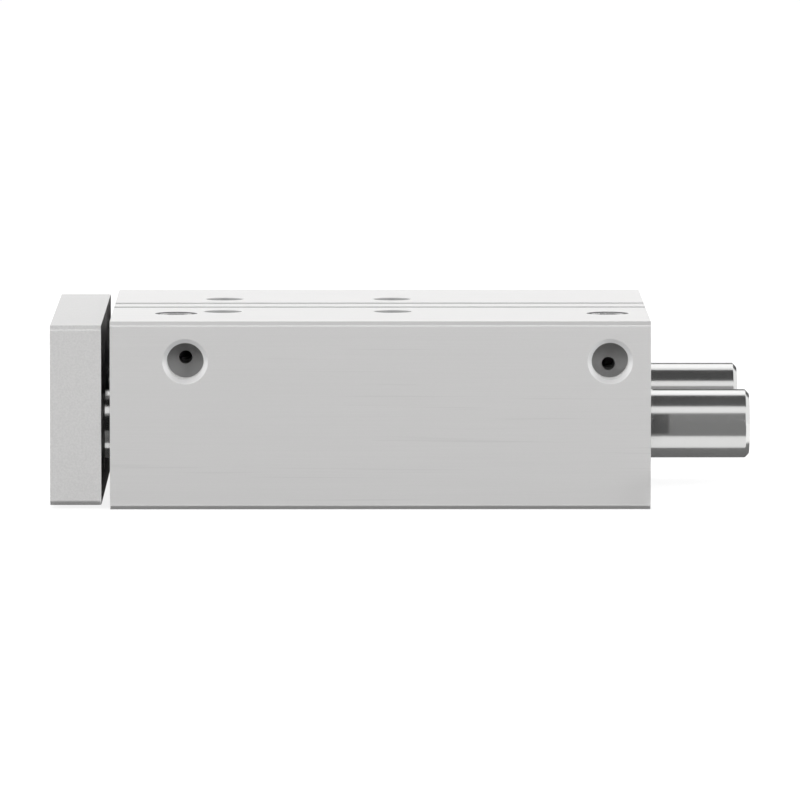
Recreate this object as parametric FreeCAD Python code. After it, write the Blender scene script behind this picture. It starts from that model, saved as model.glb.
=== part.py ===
import FreeCAD, Part
import math
import os

# Guided pneumatic cylinder, drawn with its yoke fully back.
# Millimetres. X runs along the stroke and the yoke travels towards -X, Z is up, the air ports face -Y.
# The origin is on the base plane, in the middle of the four mounting holes.

# Stroke, and the stack of pieces that sets the length of the housing
stroke = 80.0
piston_length = 19.8
buffer_thickness = 2.0
end_gap = 0.1
front_seat_depth = 14.5
rear_seat_depth = 7.5

# Fits
running_gap = 0.04
seat_gap = 0.02
soft_gap = 0.05

# Cylinder bore with a stepped seat and a circlip groove at each end
bore = 25.0
seat_step = 1.0
groove_depth = 0.7
groove_width = 1.3
groove_inset = 1.6
bore_lead_in = 0.4
piston_axis_height = 24.4

# Guides
guide_rod = 16.0
guide_spacing = 78.0
guide_axis_height = 19.1
bush_wall = 1.0
bush_length = 25.0
bush_lead_in = 0.3
wiper_wall = 3.0
wiper_seat_depth = 4.0
wiper_width = 3.6
guide_clearance = 0.5

# Housing block
side_wall = 2.0
slot_floor = 0.8
edge_chamfer = 1.0

# Sensor slots in the top face
slot_offset = 6.2
slot_mouth = 4.5
slot_width = 6.6
slot_lip = 1.4
slot_depth = 4.6

# Mounting holes through the block
mount_pitch_x = 40.0
mount_pitch_y = 40.0
mount_row_inset = 26.0
mount_hole = 5.5
mount_counterbore = 9.0
mount_counterbore_depth = 7.0

# Air ports in the near side, and the alternate ports in the top face that plugs close
port_core = 8.6
port_mouth = 10.5
port_depth = 9.0
port_below_top = 9.35
front_port_inset = 17.55
rear_port_inset = 9.5
air_channel = 3.1
front_channel_rise = 0.3
rear_channel_drop = 1.25
rear_channel_shift = 0.2
drill_point_angle = 118.0
top_port_side_inset = 26.0
top_port_front_inset = 15.1
top_port_rear_inset = 9.5
top_port_depth = 10.0
top_port_mouth = 10.05
plug_length = 6.5
plug_recess = 0.05
plug_chamfer = 0.45
plug_socket = 5.0
plug_socket_depth = 3.6

# Yoke plate and its pattern of threaded holes
yoke_thickness = 12.0
yoke_gap = 2.0
yoke_inset = 1.0
yoke_chamfer = 1.0
yoke_pitch_y = 40.0
yoke_pitch_z = 26.0
yoke_thread_core = 5.0
yoke_centring = 9.0
yoke_centring_depth = 2.1

# Rod ends, and the low-head screws that hold the rods to the yoke
rod_tail = 23.3
rod_tail_chamfer = 1.0
rod_shoulder_chamfer = 0.5
guide_spigot = 11.0
guide_spigot_length = 4.5
guide_screw = 8.0
guide_screw_head = 13.0
guide_screw_head_height = 5.0
guide_screw_socket = 5.0
guide_screw_length = 20.0
piston_rod = 10.0
rod_spigot = 8.0
rod_spigot_length = 4.0
rod_screw = 6.0
rod_screw_head = 10.0
rod_screw_head_height = 4.0
rod_screw_socket = 4.0
rod_screw_length = 16.0
head_recess = 0.4
head_clearance = 0.4
head_chamfer = 0.5
shank_clearance = 0.2
socket_share = 0.55
thread_run_out = 2.0

# Caps at the ends of the bore
cap_chamfer = 0.4
o_ring = 1.5
o_ring_groove_depth = 1.6
o_ring_groove_width = 2.0
rod_seal_wall = 3.0
rod_seal_seat_depth = 4.2
rod_seal_width = 3.8
rod_bush_wall = 1.0
rod_bush_setback = 0.4
circlip_thickness = 1.2
circlip_width = 2.6
circlip_lug = 4.6
circlip_lug_hole = 2.0
circlip_lug_angle = 16.0
buffer_inner = 15.0
buffer_edge = 0.8
lip_relief = 0.6

# Piston, clamped from two halves around a ring magnet
piston_clearance = 0.3
piston_chamfer = 0.5
magnet_thickness = 3.0
magnet_hub = 12.0
magnet_cover = 1.0
wear_ring_thickness = 1.2
wear_ring_overlap = 1.0
seal_groove_inset = 2.4
seal_groove_width = 3.2
seal_height = 3.3
piston_stud = 6.0
nut_across_flats = 10.0
nut_height = 5.0
nut_recess = 0.4
nut_clearance = 0.4

# Values worked out from the driving dimensions
cap_seat = bore + 2 * seat_step
circlip_groove = cap_seat + 2 * groove_depth
bush_seat = guide_rod + 2 * bush_wall
wiper_seat = guide_rod + 2 * wiper_wall
housing_length = (
    front_seat_depth + rear_seat_depth + 2 * (buffer_thickness + end_gap) + piston_length + stroke
)
housing_width = guide_spacing + wiper_seat + 2 * side_wall
housing_height = piston_axis_height + circlip_groove / 2 + slot_floor + slot_depth
yoke_width = housing_width - 2 * yoke_inset
yoke_height = housing_height - 2 * yoke_inset

# Planes across the stroke
front_face = -(mount_row_inset + mount_pitch_x / 2)
rear_face = front_face + housing_length
yoke_back = front_face - yoke_gap
yoke_front = yoke_back - yoke_thickness
front_cap_outer = front_face + groove_inset + groove_width
front_cap_inner = front_face + front_seat_depth
rear_cap_inner = rear_face - rear_seat_depth
rear_cap_outer = rear_face - groove_inset - groove_width
piston_rear = rear_cap_inner - buffer_thickness - end_gap
piston_front = piston_rear - piston_length
rod_end = rear_face + rod_tail
front_bush_start = front_face + wiper_seat_depth
rear_bush_end = rod_end - stroke - rod_tail_chamfer

along_x = FreeCAD.Vector(1, 0, 0)
inwards_y = FreeCAD.Vector(0, 1, 0)
downwards = FreeCAD.Vector(0, 0, -1)
near_guide = FreeCAD.Vector(0, -guide_spacing / 2, guide_axis_height)
far_guide = FreeCAD.Vector(0, guide_spacing / 2, guide_axis_height)
piston_axis = FreeCAD.Vector(0, 0, piston_axis_height)


def turned(outline, origin, direction=along_x):
    """Solid of revolution: the outline holds (distance along the axis, radius) pairs."""
    points = [FreeCAD.Vector(along, 0, radius) for along, radius in outline]
    face = Part.Face(Part.makePolygon(points + points[:1]))
    solid = Part.Solid(face.revolve(FreeCAD.Vector(), along_x, 360).Shells[0])
    if solid.Volume < 0:
        solid.reverse()
    solid.Placement = FreeCAD.Placement(origin, FreeCAD.Rotation(along_x, direction))
    return solid


def ring(start, end, inner_radius, outer_radius, origin):
    """Plain ring about a line along X."""
    corners = [(start, inner_radius), (end, inner_radius), (end, outer_radius), (start, outer_radius)]
    return turned(corners, origin)


def drilled(diameter, depth, origin, direction):
    """Straight round hole to cut away."""
    return Part.makeCylinder(diameter / 2, depth, origin, direction)


def hexagon(across_flats, start, length, origin):
    """Hexagonal prism along X."""
    corner = across_flats / 2 / math.cos(math.pi / 6)
    points = []
    for side in range(7):
        angle = math.pi / 3 * side
        offset = FreeCAD.Vector(start, corner * math.cos(angle), corner * math.sin(angle))
        points.append(origin + offset)
    return Part.Face(Part.makePolygon(points)).extrude(along_x * length)


def chamfered_bar(width, height, base, chamfer, start, length, notches=()):
    """Bar along X with chamfered long edges; notches are runs of points let into the top edge."""
    half = width / 2
    top = base + height
    outline = [
        (-half + chamfer, base), (half - chamfer, base), (half, base + chamfer),
        (half, top - chamfer), (half - chamfer, top),
        *[point for notch in notches for point in notch],
        (-half + chamfer, top), (-half, top - chamfer), (-half, base + chamfer),
    ]
    points = [FreeCAD.Vector(start, y, z) for y, z in outline]
    return Part.Face(Part.makePolygon(points + points[:1])).extrude(along_x * length)


def sensor_slot(middle):
    """T-shaped notch in the top edge of the block's profile, listed towards -Y."""
    mouth, inside = slot_mouth / 2, slot_width / 2
    lip, floor = housing_height - slot_lip, housing_height - slot_depth
    right = [(mouth, housing_height), (mouth, lip), (inside, lip), (inside, floor)]
    left = [(-y, z) for y, z in reversed(right)]
    return [(middle + y, z) for y, z in right + left]


def cylinder_bore():
    """Stepped bore with a cap seat and a circlip groove at both ends."""
    front_half = [
        (front_face, 0), (front_face, cap_seat / 2 + bore_lead_in), (front_face + bore_lead_in, cap_seat / 2),
        (front_face + groove_inset, cap_seat / 2), (front_face + groove_inset, circlip_groove / 2),
        (front_cap_outer, circlip_groove / 2), (front_cap_outer, cap_seat / 2),
        (front_cap_inner, cap_seat / 2), (front_cap_inner, bore / 2),
    ]
    rear_half = [
        (rear_cap_inner, bore / 2), (rear_cap_inner, cap_seat / 2),
        (rear_cap_outer, cap_seat / 2), (rear_cap_outer, circlip_groove / 2),
        (rear_face - groove_inset, circlip_groove / 2), (rear_face - groove_inset, cap_seat / 2),
        (rear_face - bore_lead_in, cap_seat / 2), (rear_face, cap_seat / 2 + bore_lead_in), (rear_face, 0),
    ]
    return turned(front_half + rear_half, piston_axis)


def guide_bore(axis):
    """Wiper seat, seat of both bushes, and clearance for the rod behind them."""
    clear = guide_rod / 2 + guide_clearance
    outline = [
        (front_face, 0), (front_face, wiper_seat / 2),
        (front_bush_start, wiper_seat / 2), (front_bush_start, bush_seat / 2),
        (rear_bush_end, bush_seat / 2), (rear_bush_end, clear),
        (rear_face, clear), (rear_face, 0),
    ]
    return turned(outline, axis)


def threaded_port(mouth, depth, mouth_point, direction):
    """Countersunk port of thread core size with a drilled bottom."""
    point_length = port_core / 2 / math.tan(math.radians(drill_point_angle / 2))
    countersink = (mouth - port_core) / 2
    outline = [
        (0, 0), (0, mouth / 2), (countersink, port_core / 2),
        (depth, port_core / 2), (depth + point_length, 0),
    ]
    return turned(outline, mouth_point, direction)


def air_ports():
    """Both side ports, the channels from them into the bore, and the top ports that cross the channels."""
    near_side = -housing_width / 2
    port_height = housing_height - port_below_top
    front_port, rear_port = front_face + front_port_inset, rear_face - rear_port_inset
    stations = [
        (front_port, front_face + top_port_front_inset, 0, front_channel_rise),
        (rear_port, rear_face - top_port_rear_inset, -rear_channel_shift, -rear_channel_drop),
    ]
    cuts = []
    for port_x, top_port_x, shift, rise in stations:
        port_centre = FreeCAD.Vector(port_x, near_side, port_height)
        channel_start = FreeCAD.Vector(port_x + shift, near_side + port_depth, port_height + rise)
        top_centre = FreeCAD.Vector(top_port_x, near_side + top_port_side_inset, housing_height)
        cuts.append(threaded_port(port_mouth, port_depth, port_centre, inwards_y))
        cuts.append(drilled(air_channel, housing_width / 2 - port_depth, channel_start, inwards_y))
        cuts.append(threaded_port(top_port_mouth, top_port_depth, top_centre, downwards))
    return cuts


def mounting_holes():
    """Four counterbored holes down through the block."""
    cuts = []
    for x in (-mount_pitch_x / 2, mount_pitch_x / 2):
        for y in (-mount_pitch_y / 2, mount_pitch_y / 2):
            top = FreeCAD.Vector(x, y, housing_height)
            cuts.append(drilled(mount_hole, housing_height, top, downwards))
            cuts.append(drilled(mount_counterbore, mount_counterbore_depth, top, downwards))
    return cuts


def housing_block():
    """Extruded block with its bores, ports and mounting holes."""
    slots = [sensor_slot(slot_offset), sensor_slot(-slot_offset)]
    block = chamfered_bar(
        housing_width, housing_height, 0, edge_chamfer, front_face, housing_length, slots
    )
    bores = [cylinder_bore(), guide_bore(near_guide), guide_bore(far_guide)]
    return block.cut(bores + air_ports() + mounting_holes())


def port_plugs():
    """One socket plug in each alternate port, a little below the top face."""
    plugs = []
    radius = port_core / 2 - seat_gap
    outline = [
        (0, 0), (0, radius - plug_chamfer), (plug_chamfer, radius),
        (plug_length - plug_chamfer, radius), (plug_length, radius - plug_chamfer), (plug_length, 0),
    ]
    socket = hexagon(plug_socket, 0, plug_socket_depth, FreeCAD.Vector())
    for x in (front_face + top_port_front_inset, rear_face - top_port_rear_inset):
        plug = turned(outline, FreeCAD.Vector()).cut(socket)
        place = FreeCAD.Vector(x, top_port_side_inset - housing_width / 2, housing_height - plug_recess)
        plug.Placement = FreeCAD.Placement(place, FreeCAD.Rotation(along_x, downwards))
        plugs.append(plug)
    return Part.makeCompound(plugs)


def guide_bush(start, axis):
    """Plain bush, pressed into the housing, with a lead-in at both ends."""
    inner, outer = guide_rod / 2 + running_gap, bush_seat / 2 - seat_gap
    end = start + bush_length
    outline = [
        (start, inner + bush_lead_in), (start + bush_lead_in, inner),
        (end - bush_lead_in, inner), (end, inner + bush_lead_in),
        (end, outer), (start, outer),
    ]
    return turned(outline, axis)


def lip_seal(start, width, base_radius, lip_radius, axis):
    """Grooved ring: a flat base, and a lip at its open end that reaches to what it seals."""
    side = math.copysign(1, lip_radius - base_radius)
    back = lip_radius - side * lip_relief
    outline = [
        (start, base_radius), (start + width, base_radius), (start + width, back),
        (start + width / 2, back), (start + width / 4, lip_radius), (start, lip_radius),
        (start + width / 3, (base_radius + lip_radius) / 2),
    ]
    return turned(outline, axis)


def guide_wiper(axis):
    """Scraper ring at the mouth of a guide bore, set just below the front face."""
    start = front_bush_start - wiper_width
    return lip_seal(start, wiper_width, wiper_seat / 2 - seat_gap, guide_rod / 2 + running_gap, axis)


def cap_rim(outer_end, inner_end):
    """Outer edge of a cap from its outer to its inner end, with the groove of its O-ring."""
    radius = cap_seat / 2 - seat_gap
    floor = cap_seat / 2 - o_ring_groove_depth
    middle = (outer_end + inner_end) / 2
    step = math.copysign(1, inner_end - outer_end)
    half_groove = step * o_ring_groove_width / 2
    return [
        (outer_end, radius - cap_chamfer), (outer_end + step * cap_chamfer, radius),
        (middle - half_groove, radius), (middle - half_groove, floor),
        (middle + half_groove, floor), (middle + half_groove, radius), (inner_end, radius),
    ]


def cap_o_ring(outer_end, inner_end):
    """O-ring in the groove of a cap."""
    radius = o_ring / 2
    middle_radius = cap_seat / 2 - o_ring_groove_depth + soft_gap + radius
    centre = piston_axis + along_x * ((outer_end + inner_end) / 2)
    return Part.makeTorus(middle_radius, radius, centre, along_x)


def front_cap():
    """Bearing cap with seats for the rod seal outside and the rod bush inside."""
    seal_seat = piston_rod / 2 + rod_seal_wall
    bush_radius = piston_rod / 2 + rod_bush_wall
    seal_end = front_cap_outer + rod_seal_seat_depth
    inside = [
        (front_cap_inner, bush_radius), (seal_end, bush_radius),
        (seal_end, seal_seat), (front_cap_outer, seal_seat),
    ]
    return turned(cap_rim(front_cap_outer, front_cap_inner) + inside, piston_axis)


def rod_bush():
    """Plain bush of the piston rod."""
    start = front_cap_outer + rod_seal_seat_depth
    end = front_cap_inner - rod_bush_setback
    inner = piston_rod / 2 + running_gap
    outer = piston_rod / 2 + rod_bush_wall - seat_gap
    return ring(start, end, inner, outer, piston_axis)


def rod_seal():
    """Seal and wiper of the piston rod."""
    start = front_cap_outer + rod_seal_seat_depth - rod_seal_width
    base = piston_rod / 2 + rod_seal_wall - seat_gap
    return lip_seal(start, rod_seal_width, base, piston_rod / 2 + running_gap, piston_axis)


def rear_cap():
    """Plain disc that closes the bore."""
    rim = cap_rim(rear_cap_outer, rear_cap_inner)
    return turned(rim + [(rear_cap_inner, 0), (rear_cap_outer, 0)], piston_axis)


def circlip(start):
    """Internal circlip: an open ring that thins towards two lugs with plier holes."""
    outer = circlip_groove / 2 - soft_gap
    lug = circlip_lug / 2
    inner = outer - (circlip_width + lug) / 2
    inner_shift = (circlip_width - lug) / 2
    lug_angle = math.radians(circlip_lug_angle)
    lug_reach = outer - lug
    half_gap = lug_reach * math.sin(lug_angle) - lug
    base = piston_axis + along_x * start
    down = FreeCAD.Vector(0, 0, -1)
    clip = drilled(circlip_groove - 2 * soft_gap, circlip_thickness, base, along_x)
    clip = clip.cut(drilled(2 * inner, circlip_thickness, base - down * inner_shift, along_x))
    centres = []
    for side in (-1, 1):
        offset = FreeCAD.Vector(0, side * math.sin(lug_angle), -math.cos(lug_angle)) * lug_reach
        centres.append(base + offset)
    clip = clip.fuse([drilled(circlip_lug, circlip_thickness, centre, along_x) for centre in centres])
    gap_corner = base + FreeCAD.Vector(0, -half_gap, -circlip_groove / 2)
    gap = Part.makeBox(circlip_thickness, 2 * half_gap, circlip_groove / 2 - lug, gap_corner)
    holes = [drilled(circlip_lug_hole, circlip_thickness, centre, along_x) for centre in centres]
    return clip.cut([gap] + holes).removeSplitter()


def end_buffer(seat, direction):
    """Elastic ring on the inner face of a cap, tapered on the side that the piston meets."""
    outer = bore / 2 - piston_clearance
    free = seat + direction * buffer_thickness
    edge = free - direction * buffer_edge
    outline = [
        (seat, buffer_inner / 2), (seat, outer), (edge, outer), (free, outer - buffer_edge),
        (free, buffer_inner / 2 + buffer_edge), (edge, buffer_inner / 2),
    ]
    return turned(outline, piston_axis)


def head_seat(screw, head, head_height, spigot, spigot_length, axis):
    """Counterbore, screw hole and spigot bore through the yoke, to cut away."""
    head_radius = head / 2 + head_clearance
    shank_radius = screw / 2 + shank_clearance
    head_floor = yoke_front + head_recess + head_height
    spigot_floor = yoke_back - spigot_length
    outline = [
        (yoke_front, 0), (yoke_front, head_radius), (head_floor, head_radius), (head_floor, shank_radius),
        (spigot_floor, shank_radius), (spigot_floor, spigot / 2 + seat_gap),
        (yoke_back, spigot / 2 + seat_gap), (yoke_back, 0),
    ]
    return turned(outline, axis)


def yoke_plate():
    """Plate with seats for three rods, and four threaded holes with centring recesses."""
    plate = chamfered_bar(
        yoke_width, yoke_height, yoke_inset, yoke_chamfer, yoke_front, yoke_thickness
    )
    cuts = [
        head_seat(rod_screw, rod_screw_head, rod_screw_head_height, rod_spigot, rod_spigot_length, piston_axis)
    ]
    for axis in (near_guide, far_guide):
        cuts.append(
            head_seat(
                guide_screw, guide_screw_head, guide_screw_head_height, guide_spigot, guide_spigot_length, axis
            )
        )
    for y in (-yoke_pitch_y / 2, yoke_pitch_y / 2):
        for z in (-yoke_pitch_z / 2, yoke_pitch_z / 2):
            centre = FreeCAD.Vector(yoke_front, y, housing_height / 2 + z)
            cuts.append(drilled(yoke_thread_core, yoke_thickness, centre, along_x))
            cuts.append(drilled(yoke_centring, yoke_centring_depth, centre, along_x))
    return plate.cut(cuts)


def cap_screw(screw, head, head_height, socket, length, axis):
    """Low-head socket screw, its head just below the face of the yoke."""
    top = yoke_front + head_recess
    under = top + head_height
    end = under + length
    outline = [
        (top, 0), (top, head / 2 - head_chamfer), (top + head_chamfer, head / 2), (under, head / 2),
        (under, screw / 2), (end - head_chamfer, screw / 2), (end, screw / 2 - head_chamfer), (end, 0),
    ]
    return turned(outline, axis).cut(hexagon(socket, top, head_height * socket_share, axis))


def tapped_hole(screw, head_height, screw_length, spigot_length, axis):
    """Screw hole in the front end of a rod, a little deeper than the screw reaches."""
    start = yoke_back - spigot_length
    end = yoke_front + head_recess + head_height + screw_length + thread_run_out
    return drilled(screw + 2 * seat_gap, end - start, axis + along_x * start, along_x)


def guide_rod_on(axis):
    """Hardened rod with a spigot in the yoke and a chamfered free end."""
    radius = guide_rod / 2
    spigot_end = yoke_back - guide_spigot_length
    outline = [
        (spigot_end, 0), (spigot_end, guide_spigot / 2), (yoke_back, guide_spigot / 2),
        (yoke_back, radius - rod_shoulder_chamfer), (yoke_back + rod_shoulder_chamfer, radius),
        (rod_end - rod_tail_chamfer, radius), (rod_end, radius - rod_tail_chamfer), (rod_end, 0),
    ]
    hole = tapped_hole(guide_screw, guide_screw_head_height, guide_screw_length, guide_spigot_length, axis)
    return turned(outline, axis).cut(hole)


def guide_rod_screws():
    """One screw for each guide rod."""
    return Part.makeCompound([
        cap_screw(
            guide_screw, guide_screw_head, guide_screw_head_height, guide_screw_socket, guide_screw_length, axis
        )
        for axis in (near_guide, far_guide)
    ])


def piston_rod_shaft():
    """Piston rod with a spigot in the yoke, and a stud that carries the piston."""
    radius = piston_rod / 2
    spigot_end = yoke_back - rod_spigot_length
    stud_end = piston_rear - nut_recess
    outline = [
        (spigot_end, 0), (spigot_end, rod_spigot / 2), (yoke_back, rod_spigot / 2),
        (yoke_back, radius - rod_shoulder_chamfer), (yoke_back + rod_shoulder_chamfer, radius),
        (piston_front, radius), (piston_front, piston_stud / 2), (stud_end, piston_stud / 2), (stud_end, 0),
    ]
    hole = tapped_hole(rod_screw, rod_screw_head_height, rod_screw_length, rod_spigot_length, piston_axis)
    return turned(outline, piston_axis).cut(hole)


def piston_rod_screw():
    """Screw that holds the piston rod to the yoke."""
    return cap_screw(
        rod_screw, rod_screw_head, rod_screw_head_height, rod_screw_socket, rod_screw_length, piston_axis
    )


# Radii and planes that the pieces of the piston share
piston_radius = bore / 2 - piston_clearance
wear_ring_floor = bore / 2 - wear_ring_thickness
seal_floor = bore / 2 - seal_height
stud_hole = piston_stud / 2 + seat_gap
magnet_start = (piston_front + piston_rear - magnet_thickness) / 2
magnet_end = magnet_start + magnet_thickness
wear_ring_start = magnet_start - wear_ring_overlap
wear_ring_end = magnet_end + wear_ring_overlap
front_groove = piston_front + seal_groove_inset
rear_groove = piston_rear - seal_groove_inset


def piston_front_half():
    """Front disc with a seal groove, half of the wear ring's groove and the hub of the magnet."""
    groove_end = front_groove + seal_groove_width
    outline = [
        (piston_front, stud_hole), (piston_front, piston_radius - piston_chamfer),
        (piston_front + piston_chamfer, piston_radius), (front_groove, piston_radius),
        (front_groove, seal_floor), (groove_end, seal_floor), (groove_end, piston_radius),
        (wear_ring_start, piston_radius), (wear_ring_start, wear_ring_floor),
        (magnet_start, wear_ring_floor), (magnet_start, magnet_hub / 2),
        (magnet_end, magnet_hub / 2), (magnet_end, stud_hole),
    ]
    return turned(outline, piston_axis)


def piston_rear_half():
    """Rear disc with a seal groove and a recess for the nut."""
    groove_start = rear_groove - seal_groove_width
    recess_radius = nut_across_flats / 2 / math.cos(math.pi / 6) + nut_clearance
    recess_floor = piston_rear - nut_recess - nut_height
    outline = [
        (magnet_end, stud_hole), (magnet_end, wear_ring_floor), (wear_ring_end, wear_ring_floor),
        (wear_ring_end, piston_radius), (groove_start, piston_radius), (groove_start, seal_floor),
        (rear_groove, seal_floor), (rear_groove, piston_radius),
        (piston_rear - piston_chamfer, piston_radius), (piston_rear, piston_radius - piston_chamfer),
        (piston_rear, recess_radius), (recess_floor, recess_radius), (recess_floor, stud_hole),
    ]
    return turned(outline, piston_axis)


def piston_magnet():
    """Ring magnet between the halves, under the wear ring."""
    inner = magnet_hub / 2 + seat_gap
    return ring(magnet_start, magnet_end, inner, wear_ring_floor - magnet_cover, piston_axis)


def piston_wear_ring():
    """Guide band of the piston."""
    inner = wear_ring_floor + seat_gap
    return ring(wear_ring_start, wear_ring_end, inner, bore / 2 - running_gap, piston_axis)


def piston_seals():
    """Two grooved rings that open towards the two chambers."""
    base, lip = seal_floor + seat_gap, bore / 2 - running_gap
    width = seal_groove_width - 2 * soft_gap
    front = lip_seal(front_groove + soft_gap, width, base, lip, piston_axis)
    rear = front.mirror(FreeCAD.Vector((piston_front + piston_rear) / 2, 0, 0), along_x)
    return Part.makeCompound([front, rear])


def piston_nut():
    """Hexagon nut that clamps the halves on the stud."""
    start = piston_rear - nut_recess - nut_height
    nut = hexagon(nut_across_flats, start, nut_height, piston_axis)
    return nut.cut(drilled(piston_stud + 2 * seat_gap, nut_height, piston_axis + along_x * start, along_x))


pieces = {
    "housing_block": housing_block(),
    "port_plugs": port_plugs(),
    "front_bush_near": guide_bush(front_bush_start, near_guide),
    "front_bush_far": guide_bush(front_bush_start, far_guide),
    "rear_bush_near": guide_bush(rear_bush_end - bush_length, near_guide),
    "rear_bush_far": guide_bush(rear_bush_end - bush_length, far_guide),
    "guide_wiper_near": guide_wiper(near_guide),
    "guide_wiper_far": guide_wiper(far_guide),
    "front_cap": front_cap(),
    "front_cap_o_ring": cap_o_ring(front_cap_outer, front_cap_inner),
    "front_cap_circlip": circlip(front_cap_outer - circlip_thickness),
    "rod_bush": rod_bush(),
    "rod_seal": rod_seal(),
    "front_buffer": end_buffer(front_cap_inner, 1),
    "rear_cap": rear_cap(),
    "rear_cap_o_ring": cap_o_ring(rear_cap_outer, rear_cap_inner),
    "rear_cap_circlip": circlip(rear_cap_outer),
    "rear_buffer": end_buffer(rear_cap_inner, -1),
    "yoke_plate": yoke_plate(),
    "guide_rod_near": guide_rod_on(near_guide),
    "guide_rod_far": guide_rod_on(far_guide),
    "guide_rod_screws": guide_rod_screws(),
    "piston_rod": piston_rod_shaft(),
    "piston_rod_screw": piston_rod_screw(),
    "piston_front_half": piston_front_half(),
    "piston_rear_half": piston_rear_half(),
    "piston_magnet": piston_magnet(),
    "piston_wear_ring": piston_wear_ring(),
    "piston_seals": piston_seals(),
    "piston_nut": piston_nut(),
}

os.makedirs("parts", exist_ok=True)
for name, shape in pieces.items():
    shape.exportStep(f"parts/{name}.step")
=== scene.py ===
import math
import bmesh
import bpy
from mathutils import Matrix, Vector


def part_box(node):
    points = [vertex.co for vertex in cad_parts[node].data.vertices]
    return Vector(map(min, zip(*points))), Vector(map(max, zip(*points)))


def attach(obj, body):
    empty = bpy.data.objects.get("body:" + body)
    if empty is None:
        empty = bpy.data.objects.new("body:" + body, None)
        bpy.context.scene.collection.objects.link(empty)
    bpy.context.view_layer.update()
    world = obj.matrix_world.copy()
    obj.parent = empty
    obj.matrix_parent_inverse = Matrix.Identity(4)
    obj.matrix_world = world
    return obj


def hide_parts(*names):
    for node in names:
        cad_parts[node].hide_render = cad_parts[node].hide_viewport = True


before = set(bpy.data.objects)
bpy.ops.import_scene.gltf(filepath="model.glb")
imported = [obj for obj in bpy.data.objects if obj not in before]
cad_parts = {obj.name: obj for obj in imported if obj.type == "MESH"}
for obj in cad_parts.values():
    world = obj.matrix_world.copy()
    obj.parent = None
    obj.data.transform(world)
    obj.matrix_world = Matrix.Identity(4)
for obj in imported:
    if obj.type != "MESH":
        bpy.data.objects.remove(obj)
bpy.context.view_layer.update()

# Guided pneumatic cylinder: anodised block, yoke plate and ground steel rods.
# Metres throughout. X runs along the stroke, the yoke is at the -X end, the air ports face -Y.
mm = 0.001
alongX = Vector((1, 0, 0))
intoSide = Vector((0, 1, 0))
downwards = Vector((0, 0, -1))
acrossX, acrossY, acrossZ = range(3)    # a plane is named by the axis that it lies across
tiny = 0.0005 * mm                      # two points closer than this are the same point
joinGap = 0.004 * mm                    # turns of a thread are joined across this
noiseMiddle = 0.5                       # a noise pattern swings about this


class Wire:                             # a socket that can stand in a sum
    def __init__(self, finish, socket):
        self.finish, self.socket = finish, socket

    def maths(self, operation, first, second):
        return self.finish.add("Math", {"operation": operation}, {0: first, 1: second})

    def __add__(self, other):
        return self.maths("ADD", self, other)

    def __radd__(self, other):
        return self.maths("ADD", other, self)

    def __sub__(self, other):
        return self.maths("SUBTRACT", self, other)

    def __rsub__(self, other):
        return self.maths("SUBTRACT", other, self)

    def __mul__(self, other):
        return self.maths("MULTIPLY", self, other)

    def __rmul__(self, other):
        return self.maths("MULTIPLY", other, self)

    def swing(self):                    # a noise pattern as an even swing about zero
        return self - noiseMiddle


class Finish:                           # one node tree and the nodes added to it
    def __init__(self, owner):
        owner.use_nodes = True
        self.owner, self.tree = owner, owner.node_tree
        self.tree.nodes.clear()

    def add(self, kind, settings, sockets, output=0):
        node = self.tree.nodes.new("ShaderNode" + kind)
        for name, value in settings.items():
            if name == "stops":
                self.setStops(node.color_ramp, value)
            else:
                setattr(node, name, value)
        for name, value in sockets.items():
            if isinstance(value, Wire):
                self.tree.links.new(value.socket, node.inputs[name])
            else:
                node.inputs[name].default_value = value
        return Wire(self, node.outputs[output]) if len(node.outputs) else None

    def setStops(self, ramp, stops):
        while len(ramp.elements) < len(stops):
            ramp.elements.new(0.5)
        for element, (place, level) in zip(ramp.elements, stops):
            element.position, element.color = place, (level, level, level, 1)

    def noise(self, place, scale, detail=3.0, roughness=0.5):   # three scales stretch the pattern
        if isinstance(scale, tuple):
            place, scale = self.add("Mapping", {}, {"Vector": place, "Scale": scale}), 1.0
        sockets = {"Vector": place, "Scale": scale, "Detail": detail, "Roughness": roughness}
        return self.add("TexNoise", {}, sockets)

    def ramp(self, value, *stops):
        return self.add("ValToRGB", {"stops": stops}, {"Fac": value})

    def mix(self, factor, first, second):                       # 6, 7 and output 2 are the colour sockets
        return self.add("Mix", {"data_type": "RGBA"}, {0: factor, 6: first, 7: second}, 2)

    def bump(self, height, distance):
        return self.add("Bump", {}, {"Height": height, "Distance": distance, "Strength": 1.0})

    def surface(self, sockets):
        shader = self.add("BsdfPrincipled", {}, sockets)
        self.add("OutputMaterial", {}, {"Surface": shader})
        return self.owner


def grey(level, warmth=0.0):
    return (level * (1 + warmth), level, level * (1 - warmth), 1)


def tint(finish, tone, look):           # from the dark to the light grey of a look
    return finish.mix(tone, grey(look["dark"], look["warmth"]), grey(look["light"], look["warmth"]))


def startFinish(name):
    finish = Finish(bpy.data.materials.new(name))
    return finish, finish.add("TexCoord", {}, {}, "Object")


# Painted shade and painted light: inside these boxes the colour becomes a set grey, darker in hollows where
# shade falls and lighter on the port rims.
def paintedShadeAndLight(finish, place, paintedBoxes):        # 1 inside the boxes, with the grey level and metal there
    share = level = metal = 0.0
    for middles, halfSize, paintedLevel, ownMetal in paintedBoxes.values():
        for middle in middles:
            inside = 1.0
            for axis, centre, half in zip("XYZ", middle, halfSize):
                along = finish.add("SeparateXYZ", {}, {"Vector": place}, axis)
                near = {0: along, 1: centre * mm, 2: half * mm}
                inside = inside * finish.add("Math", {"operation": "COMPARE"}, near)
            share = share + inside
            level = level + inside * paintedLevel
            metal = metal + inside * ownMetal
    return share, level, metal


drawnMix = {"lines": 0.5, "grain": 0.25, "cloud": 0.25, "reliefLines": 0.7, "reliefGrain": 0.3}
blastedMix = {"grain": 0.7, "cloud": 0.3}
evenMix = 0.5                           # two patterns in equal shares


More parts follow.
